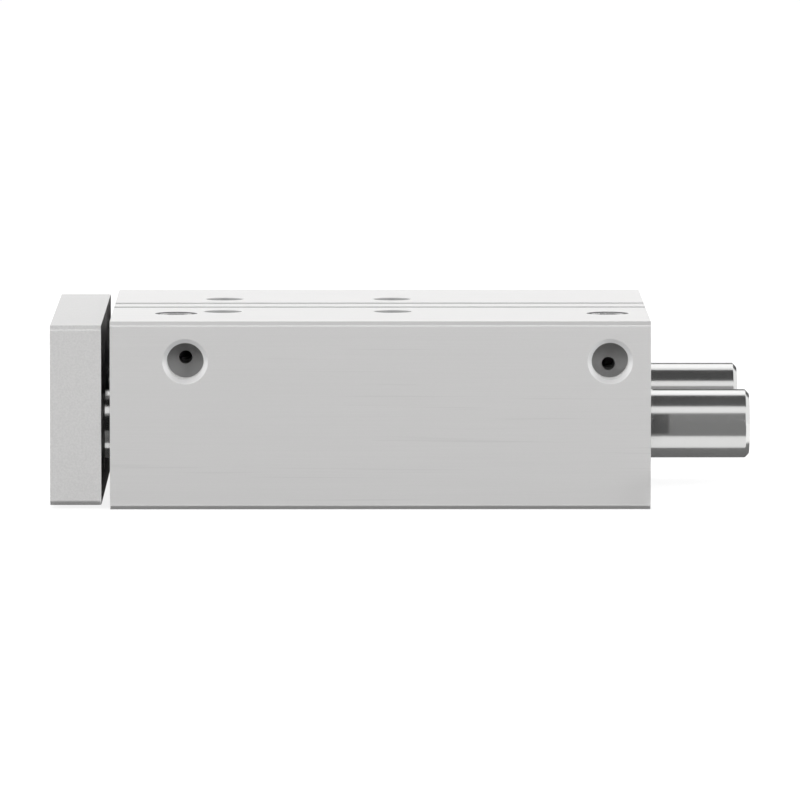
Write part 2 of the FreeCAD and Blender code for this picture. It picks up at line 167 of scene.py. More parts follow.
def drawnAluminium(name, look):         # clear anodised profile with fine lines along its length
    finish, place = startFinish(name)
    lines = finish.noise(place, look["lineScale"], detail=4.0, roughness=0.6)
    grain = finish.noise(place, look["grainScale"], detail=2.0)
    cloud = finish.noise(place, look["cloudScale"])
    marks = finish.noise(place, look["streakScale"], detail=2.0)
    streaks = finish.ramp(marks, (look["streakFrom"], 0), (look["streakTo"], 1))
    tone = lines * drawnMix["lines"] + grain * drawnMix["grain"] + cloud * drawnMix["cloud"]
    skin = tint(finish, tone - streaks * look["streakDepth"], look)
    # painted shade in the ports, holes and slots, and painted light on the port rims, set by place in the
    # housing
    paintedShare, level, metal = paintedShadeAndLight(finish, place, look["paintedBoxes"])
    relief = lines * drawnMix["reliefLines"] + grain * drawnMix["reliefGrain"]
    return finish.surface({
        "Base Color": finish.mix(paintedShare, skin, level),
        "Metallic": (1 - paintedShare) * look["metallic"] + metal,
        "Roughness": look["roughness"] + lines.swing() * look["roughnessSwing"],
        "Normal": finish.bump(relief, look["depth"]),
    })


def blastedAluminium(name, look):       # clear anodised plate, bead blasted, with a sandy speckle
    finish, place = startFinish(name)
    sand = finish.noise(place, look["grainScale"], roughness=0.6)
    grain = finish.ramp(sand, (look["grainFrom"], 0), (look["grainTo"], 1))
    cloud = finish.noise(place, look["cloudScale"])
    return finish.surface({
        "Base Color": tint(finish, grain * blastedMix["grain"] + cloud * blastedMix["cloud"], look),
        "Metallic": look["metallic"],
        "Roughness": look["roughness"] + grain.swing() * look["roughnessSwing"],
        "Normal": finish.bump(grain, look["depth"]),
    })


def turnedMetal(name, look):            # turned or ground metal: fine rings across the X axis
    finish, place = startFinish(name)
    rings = finish.noise(place, look["lineScale"], roughness=0.6)
    cloud = finish.noise(place, look["cloudScale"])
    return finish.surface({
        "Base Color": finish.mix((rings + cloud) * evenMix, look["dark"], look["light"]),
        "Metallic": look["metallic"],
        "Roughness": look["roughness"] + cloud.swing() * look["roughnessSwing"],
        "Normal": finish.bump(rings, look["depth"]),
    })


def mouldedSoft(name, look):            # rubber and plastic: matt, with a fine moulded skin
    finish, place = startFinish(name)
    skin = finish.noise(place, look["grainScale"])
    cloud = finish.noise(place, look["cloudScale"], detail=2.0)
    return finish.surface({
        "Base Color": finish.mix((skin + cloud) * evenMix, look["dark"], look["light"]),
        "Roughness": look["roughness"] + skin.swing() * look["roughnessSwing"],
        "Normal": finish.bump(skin, look["depth"]),
    })


# Painted shade: the housing is darker in the port floors, the mounting holes, the top port mouths round the
# plugs and the slots, where shade falls.
housingPaintedShadeAndLight = {                      # boxes in millimetres: middles, half size, grey level, metal share
    "leftPortFloor": (((-28.45, -39, 34.65),), (4.7, 4.7, 4.7), 0.38, 0.75),
    "rightPortFloor": (((70.5, -39, 34.65),), (4.7, 4.7, 4.7), 0.45, 0.75),
    # painted highlight: the port countersinks a little lighter than the face
    "portRims": (((-28.45, -51.485, 34.65), (70.5, -51.485, 34.65)), (5.4, 0.485, 5.4), 0.89, 0.7),
    "mountHoles": ([(x, y, 22) for x in (-20, 20) for y in (-20, 20)], (4.7, 4.7, 21.85), 0.62, 0.82),
    "topPorts": (((-30.9, -26, 39), (70.5, -26, 39)), (5.1, 5.1, 4.96), 0.18, 1.0),
    "slots": (((17, -6.2, 41.6), (17, 6.2, 41.6)), (62.9, 3.4, 2.36), 0.69, 0.7),
}
housingLook = {
    "dark": 0.765, "light": 0.86, "warmth": 0.006,
    "metallic": 0.70, "roughness": 0.45, "roughnessSwing": 0.10,
    "lineScale": (30, 5200, 5200), "grainScale": 2600, "cloudScale": 22, "depth": 0.004 * mm,
    "streakScale": (16, 1100, 1100), "streakFrom": 0.63, "streakTo": 0.70, "streakDepth": 0.35,
    "paintedBoxes": housingPaintedShadeAndLight,
}
yokeLook = {
    "dark": 0.625, "light": 0.715, "warmth": 0.006,
    "metallic": 0.60, "roughness": 0.48, "roughnessSwing": 0.06,
    "grainScale": 2200, "grainFrom": 0.35, "grainTo": 0.65, "cloudScale": 30, "depth": 0.004 * mm,
}
rodLook = {
    "dark": (0.70, 0.70, 0.70, 1), "light": (0.77, 0.77, 0.76, 1),
    "metallic": 0.945, "roughness": 0.17, "roughnessSwing": 0.05,
    "lineScale": (9000, 120, 120), "cloudScale": 60, "depth": 0.0004 * mm,
}
screwLook = {
    "dark": (0.52, 0.53, 0.54, 1), "light": (0.66, 0.66, 0.65, 1),
    "metallic": 1.0, "roughness": 0.30, "roughnessSwing": 0.15,
    "lineScale": (2500, 2500, 2500), "cloudScale": 180, "depth": 0.004 * mm,
}
plugLook = {
    "dark": (0.31, 0.31, 0.32, 1), "light": (0.46, 0.46, 0.45, 1),
    "metallic": 0.60, "roughness": 0.26, "roughnessSwing": 0.15,
    "lineScale": (2500, 2500, 2500), "cloudScale": 220, "depth": 0.004 * mm,
}
springLook = {
    "dark": (0.10, 0.10, 0.11, 1), "light": (0.20, 0.20, 0.20, 1),
    "metallic": 1.0, "roughness": 0.38, "roughnessSwing": 0.2,
    "lineScale": (2200, 2200, 2200), "cloudScale": 150, "depth": 0.004 * mm,
}
capLook = {
    "dark": (0.62, 0.62, 0.62, 1), "light": (0.76, 0.76, 0.75, 1),
    "metallic": 1.0, "roughness": 0.30, "roughnessSwing": 0.12,
    "lineScale": (4000, 300, 300), "cloudScale": 90, "depth": 0.003 * mm,
}
bronzeLook = {
    "dark": (0.42, 0.27, 0.12, 1), "light": (0.60, 0.42, 0.21, 1),
    "metallic": 1.0, "roughness": 0.34, "roughnessSwing": 0.2,
    "lineScale": (3000, 3000, 3000), "cloudScale": 260, "depth": 0.006 * mm,
}
magnetLook = {
    "dark": (0.05, 0.05, 0.055, 1), "light": (0.09, 0.09, 0.09, 1),
    "roughness": 0.55, "roughnessSwing": 0.2, "grainScale": 2400, "cloudScale": 200, "depth": 0.01 * mm,
}
sealLook = {
    "dark": (0.012, 0.012, 0.013, 1), "light": (0.035, 0.035, 0.035, 1),
    "roughness": 0.48, "roughnessSwing": 0.2, "grainScale": 2200, "cloudScale": 160, "depth": 0.008 * mm,
}
bufferLook = {
    "dark": (0.45, 0.30, 0.08, 1), "light": (0.60, 0.42, 0.13, 1),
    "roughness": 0.42, "roughnessSwing": 0.2, "grainScale": 1800, "cloudScale": 140, "depth": 0.008 * mm,
}
wearRingLook = {
    "dark": (0.22, 0.20, 0.17, 1), "light": (0.32, 0.29, 0.25, 1),
    "roughness": 0.45, "roughnessSwing": 0.2, "grainScale": 2000, "cloudScale": 180, "depth": 0.006 * mm,
}
finishes = {
    "housing_aluminium": drawnAluminium("drawnAluminium", housingLook),
    "yoke_aluminium": blastedAluminium("blastedAluminium", yokeLook),
    "cap_aluminium": turnedMetal("turnedAluminium", capLook),
    "piston_aluminium": turnedMetal("pistonAluminium", capLook),
    "rod_steel": turnedMetal("groundSteel", rodLook),
    "screw_steel": turnedMetal("zincedSteel", screwLook),
    "plug_steel": turnedMetal("plainSteel", plugLook),
    "spring_steel": turnedMetal("phosphatedSpringSteel", springLook),
    "bush_bronze": turnedMetal("sinteredBronze", bronzeLook),
    "seal_rubber": mouldedSoft("sealRubber", sealLook),
    "buffer_rubber": mouldedSoft("bufferRubber", bufferLook),
    "magnet_compound": mouldedSoft("magnetCompound", magnetLook),
    "wear_ring_plastic": mouldedSoft("wearRingPlastic", wearRingLook),
}
for nodeName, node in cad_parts.items():
    for materialSlot in node.material_slots:
        slotName = materialSlot.material.name.split(".")[0]
        if slotName in finishes:
            materialSlot.material = finishes[slotName]
        else:
            print("no finish for", nodeName, slotName)
print("finishes made:", len(finishes))


segments = {"corner": 3, "end": 2, "socket": 2}         # steps in a rounded corner, end edge and socket rim


def ofKind(parts, kind):
    return [part for part in parts if isinstance(part, kind)]


def roundOff(bm, parts, size, steps, affect, clamp=False):
    bmesh.ops.bevel(
        bm, geom=parts, offset=size, offset_type="OFFSET", segments=steps, profile=0.5, affect=affect,
        material=-1, clamp_overlap=clamp,
    )


def fill(bm, edges):
    bmesh.ops.triangle_fill(bm, use_beauty=True, use_dissolve=False, edges=edges)


def lathe(bm, outline, origin, axis, steps):    # outline: (distance along the axis, radius) pairs
    side = axis.orthogonal().normalized()
    chain = [bm.verts.new(origin + axis * along + side * radius) for along, radius in outline]
    edges = [bm.edges.new(pair) for pair in zip(chain, chain[1:])]
    bmesh.ops.spin(
        bm, geom=chain + edges, cent=origin, axis=axis, dvec=(0, 0, 0), angle=math.tau, steps=steps,
        use_merge=True,
    )
    bmesh.ops.remove_doubles(bm, verts=bm.verts[:], dist=tiny)      # closes the pole of a blind end


def openPlane(bm, axis, value):         # takes the flat faces of a plane out, and leaves their edges
    flats = [face for face in bm.faces if all(abs(v.co[axis] - value) < tiny for v in face.verts)]
    bmesh.ops.delete(bm, geom=flats, context="FACES_ONLY")


def closePlane(bm, axis, value, keep=lambda point: True):           # fills a plane between its open edges
    def chosen(point):
        return abs(point[axis] - value) < tiny and keep(point)
    fill(bm, [edge for edge in bm.edges if edge.is_boundary and all(chosen(v.co) for v in edge.verts)])


def rimsAround(bm, origin, axis, reach, near, far):     # open edges round a hole, by their depth in it
    def chosen(point):
        depth = (point - origin).dot(axis)
        return near - joinGap < depth < far + joinGap and (point - origin - axis * depth).length < reach
    return [edge for edge in bm.edges if edge.is_boundary and all(chosen(v.co) for v in edge.verts)]


def bar(bm, outline, rounds, start, end, endRound):     # outline in (y, z), rounds: size per corner
    corners = [bm.verts.new((start, y, z)) for y, z in outline]
    bm.faces.new(corners)
    for size in sorted(set(rounds) - {0}):
        picked = [corner for corner, own in zip(corners, rounds) if own == size]
        roundOff(bm, picked, size, segments["corner"], "VERTICES")
    flat = max(bm.faces, key=lambda face: face.calc_area())
    grown = bmesh.ops.extrude_face_region(bm, geom=[flat])["geom"]
    bmesh.ops.translate(bm, vec=(end - start, 0, 0), verts=ofKind(grown, bmesh.types.BMVert))
    ends = [
        edge for edge in bm.edges
        for plane in (start, end)
        if all(abs(v.co.x - plane) < tiny for v in edge.verts)
    ]
    roundOff(bm, ends, endRound, segments["end"], "EDGES")


def finishPiece(bm, name, body, slotName, *nodes, sharpAngle=35):
    bmesh.ops.remove_doubles(bm, verts=bm.verts[:], dist=tiny)
    bmesh.ops.recalc_face_normals(bm, faces=bm.faces[:])
    openEdges = sum(not edge.is_manifold for edge in bm.edges)
    mesh = bpy.data.meshes.new(name)
    bm.to_mesh(mesh)
    bm.free()
    mesh.shade_smooth()
    mesh.set_sharp_from_angle(angle=math.radians(sharpAngle))
    piece = bpy.data.objects.new(name, mesh)
    bpy.context.scene.collection.objects.link(piece)
    mesh.materials.append(finishes[slotName])
    evenShading = piece.modifiers.new("evenShading", "WEIGHTED_NORMAL")
    evenShading.keep_sharp = True
    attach(piece, body)
    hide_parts(*nodes)
    print(name, "faces", len(mesh.polygons), "open edges", openEdges)


def addInto(bm, other):
    mesh = bpy.data.meshes.new("joined")
    other.to_mesh(mesh)
    other.free()
    bm.from_mesh(mesh)
    bpy.data.meshes.remove(mesh)


def tap(bm, origin, axis, thread, entry, leave):        # a helical groove between two plain rims of a hole
    core, major, pitch, turns = thread["core"] / 2, thread["major"] / 2, thread["pitch"], thread["turns"]
    start, steps, side = entry + thread["lead"], thread["steps"], axis.orthogonal().normalized()
    groove = bmesh.new()
    chain = [
        groove.verts.new(origin + axis * (start + pitch * along) + side * (core + (major - core) * height))
        for along, height in thread["profile"]
    ]
    edges = [groove.edges.new(pair) for pair in zip(chain, chain[1:])]
    bmesh.ops.spin(
        groove, geom=chain + edges, cent=origin, axis=axis, dvec=axis * (pitch / steps),
        angle=math.tau * turns, steps=steps * turns, use_merge=False,
    )
    bmesh.ops.remove_doubles(groove, verts=groove.verts[:], dist=joinGap)
    addInto(bm, groove)
    reach, end = thread["major"], start + pitch * turns
    bmesh.ops.bridge_loops(bm, edges=rimsAround(bm, origin, axis, reach, entry, start + pitch))
    bmesh.ops.bridge_loops(bm, edges=rimsAround(bm, origin, axis, reach, end, leave))


threadProfile = ((0, 0), (0.2, 0), (0.54, 1), (0.66, 1), (1, 0))    # in shares of pitch and depth
portThread = {                          # 1/8 inch pipe thread
    "core": 8.6 * mm, "major": 9.7 * mm, "pitch": 0.907 * mm, "turns": 7, "lead": 0.15 * mm, "steps": 72,
    "profile": threadProfile,
}
housing = {
    "chamfer": 1.0 * mm, "chamferRound": 0.24 * mm, "flatRound": 0.08 * mm, "endRound": 0.12 * mm,
    "slotOffset": 6.2 * mm, "slotMouth": 4.5 * mm, "slotWidth": 6.6 * mm, "slotLip": 1.4 * mm,
    "slotDepth": 4.6 * mm, "slotRound": 0.08 * mm,
    "mountPitch": 40 * mm, "mountHole": 5.5 * mm, "mountBreak": 0.05 * mm,
    "counterbore": 9 * mm, "counterboreDepth": 7 * mm,
    "portX": (-28.45 * mm, 70.5 * mm), "portHeight": 34.65 * mm,
    "portMouth": 10.5 * mm, "portRim": (0.1 * mm, 0.05 * mm), "portDepth": 9 * mm, "portWall": 0.35 * mm,
    "channel": 3.1 * mm, "channelStart": 10.2 * mm, "channelEnd": 36 * mm,
    "channelOffset": ((0, 0, 0.3 * mm), (-0.2 * mm, 0, -1.25 * mm)),
    "topPortX": (-30.9 * mm, 70.5 * mm), "topPortY": -26 * mm,
    "topPortMouth": 10.05 * mm, "topPortDepth": 10 * mm, "drillPoint": 0.6,
    "boreAxis": 24.4 * mm, "bore": 25 * mm, "boreBreak": 0.4 * mm, "capSeat": 27 * mm,
    "frontSeat": 14.5 * mm, "rearSeat": 7.5 * mm,
    "clipGroove": 28.4 * mm, "grooveInset": 1.6 * mm, "grooveWidth": 1.3 * mm,
    "guideY": 39 * mm, "guideHeight": 19.1 * mm, "guideBreak": 0.25 * mm, "guideClear": 17 * mm,
    "wiperSeat": 22 * mm, "wiperDepth": 4 * mm, "bushSeat": 18 * mm, "bushEnd": 22.3 * mm,
    "holeSteps": 72, "boreSteps": 128,
}


def housingOutline(low, high):          # extruded profile with its two T slots, and the round of each corner
    chamfer, top = housing["chamfer"], high.z
    mouth, inside = housing["slotMouth"] / 2, housing["slotWidth"] / 2
    lip, floor = top - housing["slotLip"], top - housing["slotDepth"]
    right = [(mouth, top), (mouth, lip), (inside, lip), (inside, floor)]
    slot = right + [(-y, z) for y, z in reversed(right)]
    side, flat, rim = housing["chamferRound"], housing["flatRound"], housing["slotRound"]
    outline = [(low.y + chamfer, low.z), (high.y - chamfer, low.z), (high.y, low.z + chamfer)]
    outline += [(high.y, top - chamfer), (high.y - chamfer, top)]
    rounds = [flat, flat, side, side, flat]
    for middle in (housing["slotOffset"], -housing["slotOffset"]):
        outline += [(middle + y, z) for y, z in slot]
        rounds += [rim, rim, 0, rim, rim, 0, rim, rim]
    outline += [(low.y + chamfer, top), (low.y, top - chamfer), (low.y, low.z + chamfer)]
    return outline, rounds + [flat, side, side]


def boreOutline(length):                # cylinder bore with a cap seat and a circlip groove at each end
    h, edge = housing, housing["boreBreak"]
    bore, seat, groove = h["bore"] / 2, h["capSeat"] / 2, h["clipGroove"] / 2
    grooveStart, grooveEnd = h["grooveInset"], h["grooveInset"] + h["grooveWidth"]
    mouth = [
        (0, seat + edge), (edge, seat), (grooveStart, seat), (grooveStart, groove), (grooveEnd, groove),
        (grooveEnd, seat),
    ]
    front = mouth + [(h["frontSeat"], seat), (h["frontSeat"], bore)]
    rear = mouth + [(h["rearSeat"], seat), (h["rearSeat"], bore)]
    return front + [(length - along, radius) for along, radius in reversed(rear)]


def guideOutline(start, length):        # wiper seat, bush seat and the clear bore behind them
    wiper, bush, clear = housing["wiperSeat"] / 2, housing["bushSeat"] / 2, housing["guideClear"] / 2
    edge, wiperEnd, bushEnd = housing["guideBreak"], housing["wiperDepth"], housing["bushEnd"] - start
    return [
        (0, wiper + edge), (edge, wiper), (wiperEnd, wiper), (wiperEnd, bush), (bushEnd, bush),
        (bushEnd, clear), (length - edge, clear), (length, clear + edge),
    ]


def mountOutline(height):               # through hole with a counterbore at the top
    head, shank = housing["counterbore"] / 2, housing["mountHole"] / 2
    edge, headDepth = housing["mountBreak"], housing["counterboreDepth"]
    return [
        (0, head + edge), (edge, head), (headDepth, head), (headDepth, shank), (height - edge, shank),
        (height, shank + edge),
    ]


def topPortOutline():                   # countersunk blind hole that a plug closes
    mouth, core, depth = housing["topPortMouth"] / 2, portThread["core"] / 2, housing["topPortDepth"]
    return [(0, mouth), (mouth - core, core), (depth, core), (depth + core * housing["drillPoint"], 0)]


def sidePort(bm, x, offset, low):       # tapped air port with a channel to the bore in its floor
    h, core = housing, portThread["core"] / 2
    mouth, edge = Vector((x, low.y, h["portHeight"])), h["portMouth"] / 2
    wider, deep = h["portRim"]
    countersink, wall = edge - core, h["portDepth"] - h["portWall"]
    rim = [(0, edge + wider), (deep, edge - deep), (countersink, core)]
    lathe(bm, rim, mouth, intoSide, h["holeSteps"])
    lathe(bm, [(wall, core), (h["portDepth"], core)], mouth, intoSide, h["holeSteps"])
    tap(bm, mouth, intoSide, portThread, countersink, wall)
    radius = h["channel"] / 2
    channel = [(h["channelStart"], radius), (h["channelEnd"], radius), (h["channelEnd"], 0)]
    lathe(bm, channel, mouth + Vector(offset), intoSide, h["holeSteps"])
    floorRims = rimsAround(bm, mouth, intoSide, portThread["core"], h["portDepth"], h["channelStart"])
    bmesh.ops.bridge_loops(bm, edges=floorRims)


def housingBody():
    h = housing
    low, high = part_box("housing_block")
    length, height = high.x - low.x, high.z - low.z
    bm = bmesh.new()
    outline, rounds = housingOutline(low, high)
    bar(bm, outline, rounds, low.x, high.x, h["endRound"])
    flats = [(acrossX, low.x), (acrossX, high.x), (acrossY, low.y), (acrossZ, low.z)]
    for axis, value in flats + [(acrossZ, high.z)]:
        openPlane(bm, axis, value)
    lathe(bm, boreOutline(length), Vector((low.x, 0, h["boreAxis"])), alongX, h["boreSteps"])
    for side in (-1, 1):
        guideStart = Vector((low.x, side * h["guideY"], h["guideHeight"]))
        lathe(bm, guideOutline(low.x, length), guideStart, alongX, h["boreSteps"])
        for end in (-1, 1):
            middle = Vector((end * h["mountPitch"] / 2, side * h["mountPitch"] / 2, high.z))
            lathe(bm, mountOutline(height), middle, downwards, h["holeSteps"])
    for x in h["topPortX"]:
        lathe(bm, topPortOutline(), Vector((x, h["topPortY"], high.z)), downwards, h["holeSteps"])
    for x, offset in zip(h["portX"], h["channelOffset"]):
        sidePort(bm, x, offset, low)
    for axis, value in flats:
        closePlane(bm, axis, value)
    slotMiddle = h["slotOffset"]        # the top is three strips, beside the slots and between them
    closePlane(bm, acrossZ, high.z, lambda point: point.y < -slotMiddle)
    closePlane(bm, acrossZ, high.z, lambda point: abs(point.y) < slotMiddle)
    closePlane(bm, acrossZ, high.z, lambda point: point.y > slotMiddle)
    finishPiece(bm, "housingBody", "housing", "housing_aluminium", "housing_block")


yoke = {
    "chamfer": 1.0 * mm, "chamferRound": 0.24 * mm, "flatRound": 0.08 * mm, "endRound": 0.2 * mm,
    "pitchY": 40 * mm, "pitchZ": 26 * mm, "centring": 9 * mm, "centringDepth": 2.1 * mm,
    "holeBreak": 0.25 * mm, "holeSteps": 72,
}
yokeThread = {                          # M6
    "core": 5 * mm, "major": 6 * mm, "pitch": 1 * mm, "turns": 7, "lead": 0.25 * mm, "steps": 72,
    "profile": threadProfile,
}
guideSeat = {
    "centres": ((-39 * mm, 19.1 * mm), (39 * mm, 19.1 * mm)), "head": 13.8 * mm, "headDepth": 5.4 * mm,
    "shank": 8.4 * mm, "spigot": 11.04 * mm, "spigotDepth": 4.5 * mm,
}
rodSeat = {
    "centres": ((0, 24.4 * mm),), "head": 10.8 * mm, "headDepth": 4.4 * mm,
    "shank": 6.4 * mm, "spigot": 8.04 * mm, "spigotDepth": 4 * mm,
}


def yokeOutline(low, high):             # plate with chamfered long edges, and the round of each corner
    chamfer, side, flat = yoke["chamfer"], yoke["chamferRound"], yoke["flatRound"]
    outline = [
        (low.y + chamfer, low.z), (high.y - chamfer, low.z), (high.y, low.z + chamfer),
        (high.y, high.z - chamfer), (high.y - chamfer, high.z), (low.y + chamfer, high.z),
        (low.y, high.z - chamfer), (low.y, low.z + chamfer),
    ]
    return outline, [flat, flat, side, side] * 2


def seatOutline(seat, thickness):       # screw head from the front, spigot of the rod from behind
    head, shank, spigot, edge = seat["head"] / 2, seat["shank"] / 2, seat["spigot"] / 2, yoke["holeBreak"]
    headEnd, spigotStart = seat["headDepth"], thickness - seat["spigotDepth"]
    return [
        (0, head + edge), (edge, head), (headEnd, head), (headEnd, shank), (spigotStart, shank),
        (spigotStart, spigot), (thickness - edge, spigot), (thickness, spigot + edge),
    ]


def loadThread(bm, middle, thickness):  # centring recess and tapped hole that the load is bolted to
    centring, core, major = yoke["centring"] / 2, yokeThread["core"] / 2, yokeThread["major"] / 2
    edge, depth, lead = yoke["holeBreak"], yoke["centringDepth"], major - core
    entry, leave = depth + lead, thickness - lead
    mouth = [(0, centring + edge), (edge, centring), (depth, centring), (depth, major), (entry, core)]
    lathe(bm, mouth, middle, alongX, yoke["holeSteps"])
    lathe(bm, [(leave, core), (thickness, major)], middle, alongX, yoke["holeSteps"])
    tap(bm, middle, alongX, yokeThread, entry, leave)


def yokeBody():
    low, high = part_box("yoke_plate")
    thickness, middleZ = high.x - low.x, (low.z + high.z) / 2
    bm = bmesh.new()
    outline, rounds = yokeOutline(low, high)
    bar(bm, outline, rounds, low.x, high.x, yoke["endRound"])
    for value in (low.x, high.x):
        openPlane(bm, acrossX, value)
    for seat in (guideSeat, rodSeat):
        for y, z in seat["centres"]:
            lathe(bm, seatOutline(seat, thickness), Vector((low.x, y, z)), alongX, yoke["holeSteps"])
    for y in (-yoke["pitchY"] / 2, yoke["pitchY"] / 2):
        for z in (-yoke["pitchZ"] / 2, yoke["pitchZ"] / 2):
            loadThread(bm, Vector((low.x, y, middleZ + z)), thickness)
    for value in (low.x, high.x):
        closePlane(bm, acrossX, value)
    finishPiece(bm, "yokeBody", "carriage", "yoke_aluminium", "yoke_plate")


rods = {"shoulder": 0.7 * mm, "steps": 160, "sharpAngle": 25}
guideShaft = {
    "spigot": 4.5 * mm, "spigotWidth": 11 * mm, "hole": 8.04 * mm, "holeEnd": -32.6 * mm,
    "tailLength": 1.0 * mm, "tailDrop": 1.0 * mm, "tailRound": 0.12 * mm, "tailEase": (0.7, 0.5),
}
pistonShaft = {
    "spigot": 4 * mm, "spigotWidth": 8 * mm, "hole": 6.04 * mm, "holeEnd": -37.6 * mm,
    "stud": 6 * mm, "studStart": 50.6 * mm,
}


def rodFront(low, shaft, radius):       # tapped end, spigot and shoulder
    hole, holeEnd, spigot = shaft["hole"] / 2, shaft["holeEnd"], shaft["spigotWidth"] / 2
    shoulder, drop = low.x + shaft["spigot"], rods["shoulder"]
    return [
        (holeEnd, 0), (holeEnd, hole), (low.x, hole), (low.x, spigot), (shoulder, spigot),
        (shoulder, radius - drop), (shoulder + drop, radius),
    ]


def guideTail(high, radius):            # chamfered free end with softened edges
    start, end, small = high.x - guideShaft["tailLength"], high.x, guideShaft["tailRound"]
    low, (along, half) = radius - guideShaft["tailDrop"], guideShaft["tailEase"]
    return [
        (start - small, radius), (start + small * along, radius - small * half),
        (end - small * half, low + small * half), (end, low - small), (end, 0),
    ]


def pistonTail(high, radius):           # stud that the piston is clamped on
    start, stud = pistonShaft["studStart"], pistonShaft["stud"] / 2
    return [(start, radius), (start, stud), (high.x, stud), (high.x, 0)]


def rodBody(name, nodeName, shaft, tail):
    low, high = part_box(nodeName)
    radius = (high.z - low.z) / 2
    axis = Vector((0, (low.y + high.y) / 2, (low.z + high.z) / 2))
    bm = bmesh.new()
    lathe(bm, rodFront(low, shaft, radius) + tail(high, radius), axis, alongX, rods["steps"])
    finishPiece(bm, name, "carriage", "rod_steel", nodeName, sharpAngle=rods["sharpAngle"])


screws = {
    "edge": 0.5 * mm, "edgeEase": 0.3, "socketEdge": 0.12 * mm, "socketSides": 6, "drillPoint": 0.25,
    "steps": 72, "sharpAngle": 30,
}
guideScrew = {
    "head": 13 * mm, "height": 5 * mm, "shank": 8 * mm, "length": 20 * mm,
    "socket": 5 * mm, "depth": 2.75 * mm,
}
rodScrew = {
    "head": 10 * mm, "height": 4 * mm, "shank": 6 * mm, "length": 16 * mm,
    "socket": 4 * mm, "depth": 2.2 * mm,
}
plug = {
    "width": 8.56 * mm, "length": 6.4 * mm, "recess": 0.1 * mm, "edge": 0.5 * mm,
    "socket": 5 * mm, "depth": 3.5 * mm,
}


def socketInto(bm, origin, axis, towards, size, depth):     # hexagon socket, with a corner to one side
    turn = Matrix((towards.cross(axis), towards, axis)).transposed().to_4x4()
    place, sides = Matrix.Translation(origin) @ turn, screws["socketSides"]
    rim = rimsAround(bm, origin, axis, size * 3, 0, 0)
    corner = size / 2 / math.cos(math.pi / sides)
    ring = bmesh.ops.create_circle(bm, cap_ends=False, radius=corner, segments=sides, matrix=place)["verts"]
    hexagon = [edge for edge in bm.edges if all(v in ring for v in edge.verts)]
    walls = bmesh.ops.extrude_edge_only(bm, edges=hexagon)["geom"]
    deep = ofKind(walls, bmesh.types.BMVert)
    bmesh.ops.translate(bm, vec=axis * depth, verts=deep)
    fill(bm, rim + hexagon)
    floorEdges = [edge for edge in ofKind(walls, bmesh.types.BMEdge) if all(v in deep for v in edge.verts)]
    floor = bmesh.ops.contextual_create(bm, geom=floorEdges)["faces"]
    point = bmesh.ops.poke(bm, faces=floor)["verts"]
    bmesh.ops.translate(bm, vec=axis * size * screws["drillPoint"], verts=point)
    roundOff(bm, hexagon, screws["socketEdge"], segments["socket"], "EDGES", clamp=True)


def capScrew(bm, sizes, origin):
    edge, ease, head, shank = screws["edge"], screws["edgeEase"], sizes["head"] / 2, sizes["shank"] / 2
    height, end = sizes["height"], sizes["height"] + sizes["length"]
    outline = [
        (0, head - edge), (edge * ease, head - edge * ease), (edge, head), (height, head), (height, shank),
        (end - edge, shank), (end, shank - edge), (end, 0),
    ]
    lathe(bm, outline, origin, alongX, screws["steps"])
    socketInto(bm, origin, alongX, intoSide, sizes["socket"], sizes["depth"])


def screwPieces(name, nodeName, sizes, seat):
    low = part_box(nodeName)[0]
    bm = bmesh.new()
    for y, z in seat["centres"]:
        capScrew(bm, sizes, Vector((low.x, y, z)))
    finishPiece(bm, name, "carriage", "screw_steel", nodeName, sharpAngle=screws["sharpAngle"])


def plugPieces():
    edge, radius, length = plug["edge"], plug["width"] / 2, plug["length"]
    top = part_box("port_plugs")[1].z - plug["recess"]
    outline = [
        (0, radius - edge), (edge, radius), (length - edge, radius), (length, radius - edge), (length, 0),
    ]
    bm = bmesh.new()
    for x in housing["topPortX"]:
        origin = Vector((x, housing["topPortY"], top))
        lathe(bm, outline, origin, downwards, screws["steps"])
        socketInto(bm, origin, downwards, alongX, plug["socket"], plug["depth"])
    finishPiece(bm, "portPlugs", "housing", "plug_steel", "port_plugs", sharpAngle=screws["sharpAngle"])


housingBody()
yokeBody()
rodBody("guideRodNear", "guide_rod_near", guideShaft, guideTail)
rodBody("guideRodFar", "guide_rod_far", guideShaft, guideTail)
rodBody("pistonRodShaft", "piston_rod", pistonShaft, pistonTail)
screwPieces("guideRodScrews", "guide_rod_screws", guideScrew, guideSeat)
screwPieces("pistonRodScrew", "piston_rod_screw", rodScrew, rodSeat)
plugPieces()


studio = {
    "floorHalf": 6.0, "floorLevel": 0.86, "floorWhite": 0.7, "floorStrength": 1.22, "worldLight": 0.55,
}
lamps = {                               # they don't show in shiny surfaces, which mirror the cards
    "backLight": {"place": (0.0, 1.3, 1.25), "size": (2.4, 0.7), "power": 26.0},
    "keyLight": {"place": (-1.54, -1.38, 0.75), "size": (0.8, 0.8), "power": 19.0},
    "fillLight": {"place": (1.70, -1.11, 0.62), "size": (0.7, 0.9), "power": 7.0},
    "frontLight": {"place": (0.1, -2.1, 0.75), "size": (2.0, 0.6), "power": 52.0},
}
